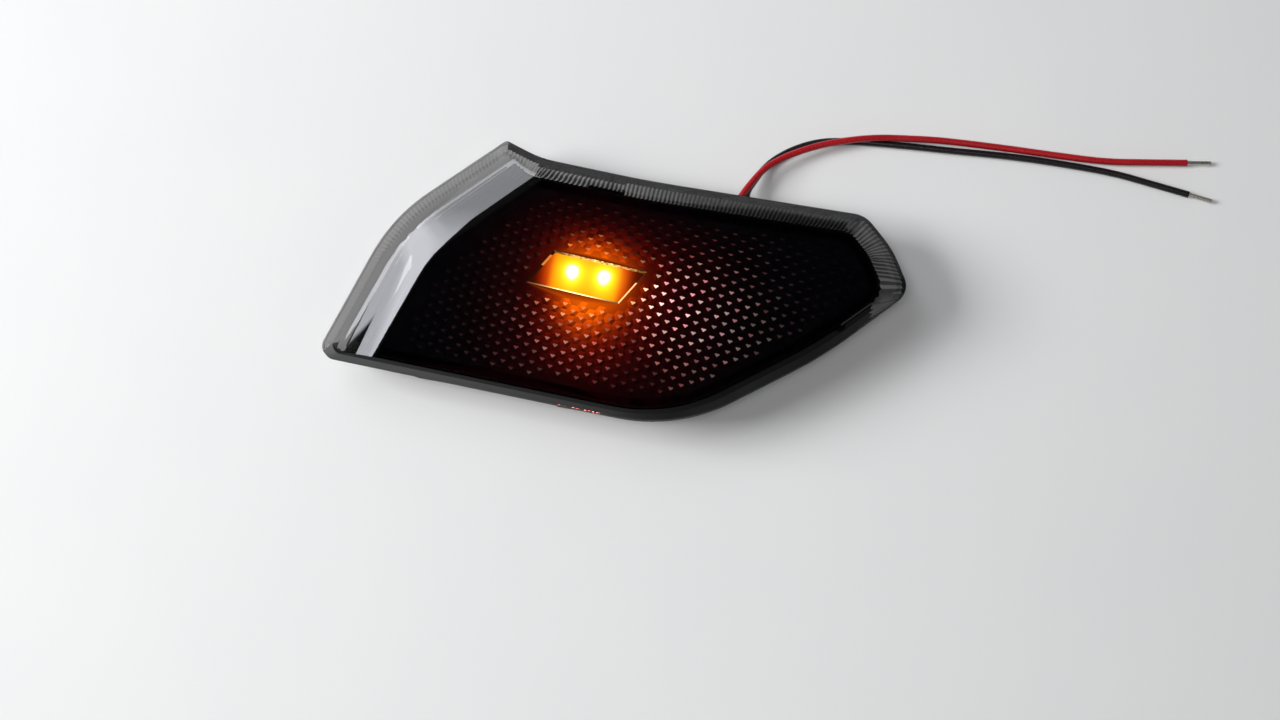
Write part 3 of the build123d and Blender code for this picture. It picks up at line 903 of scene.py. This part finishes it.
def flutes_painted_light():
    # Opaque flutes coloured with painted light and shade, which also glow faintly with it
    material = moulded(
        "flutes_painted_light", None, (0.4, 0.55), 0.3 * MM, 0.008 * MM,
        Specular_IOR_Level=0.2, Emission_Strength=0.4,
    )
    feed(material, painted(material), "Base Color", "Emission Color")
    return material


def smoked_edge_painted_shade():
    # Opaque edge coloured with painted shade, darker to the right and at the lip
    material = moulded("smoked_edge_painted_shade", None, (0.3, 0.4), 0.3 * MM, 0.008 * MM, Specular_IOR_Level=0.02)
    feed(material, painted(material), "Base Color")
    return material


lens = build_lens()
for make_material in (smoked_acrylic, lit_optics, flutes_painted_light, smoked_edge_painted_shade):
    lens.data.materials.append(make_material())
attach(lens, "root")
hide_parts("lens")


# Materials of the part's other solids
LED_LIGHT = [
    (0.0, (12.0, 10.5, 6.0)), (0.24, (10.0, 6.5, 1.0)), (0.36, (4.0, 1.6, 0.05)), (0.42, (0.0, 0.0, 0.0)),
]
LED_BODY = [(0.3, (0.9, 0.55, 0.1)), (0.45, (0.75, 0.74, 0.7))]
CHIPS = ["resistor_left", "resistor_right", "polarity_diode"]
BOARD_TONES = ((0.016, 0.02, 0.018), (0.022, 0.026, 0.024))


def amber_led():
    """Bright round core in a pale package."""
    material = new_material("amber_led", Roughness=0.35, Emission_Strength=1.0)
    place = add_node(material, "ShaderNodeTexCoord").outputs["Generated"]
    offset = add_node(material, "ShaderNodeVectorMath", {1: (0.5, 0.5, 0.0)}, operation="SUBTRACT")
    link(material, place, offset.inputs[0])
    level = add_node(material, "ShaderNodeVectorMath", {1: (1.0, 1.0, 0.0)}, operation="MULTIPLY")
    link(material, offset.outputs["Vector"], level.inputs[0])
    reach = add_node(material, "ShaderNodeVectorMath", operation="LENGTH")
    link(material, level.outputs["Vector"], reach.inputs[0])
    feed(material, ramp(material, reach.outputs["Value"], LED_LIGHT), "Emission Color")
    feed(material, ramp(material, reach.outputs["Value"], LED_BODY), "Base Color")
    return material


dress(["led_left", "led_right"], amber_led())
dress(["housing"], moulded("black_plastic", (grey(0.012), grey(0.02)), (0.38, 0.55), 0.25 * MM, 0.02 * MM))
dress(["seal_bead"], moulded("sealant", (grey(0.02), grey(0.032)), (0.5, 0.7), 0.8 * MM, 0.05 * MM))
dress(["grommet"], moulded("rubber_outlet", (grey(0.014), grey(0.022)), (0.5, 0.65), 0.3 * MM, 0.02 * MM))
dress(CHIPS, moulded("chip_black", (grey(0.02), grey(0.035)), (0.3, 0.45), 0.2 * MM, 0.01 * MM))
dress(["led_board"], moulded("board_mask", BOARD_TONES, (0.35, 0.5), 0.5 * MM, 0.01 * MM))
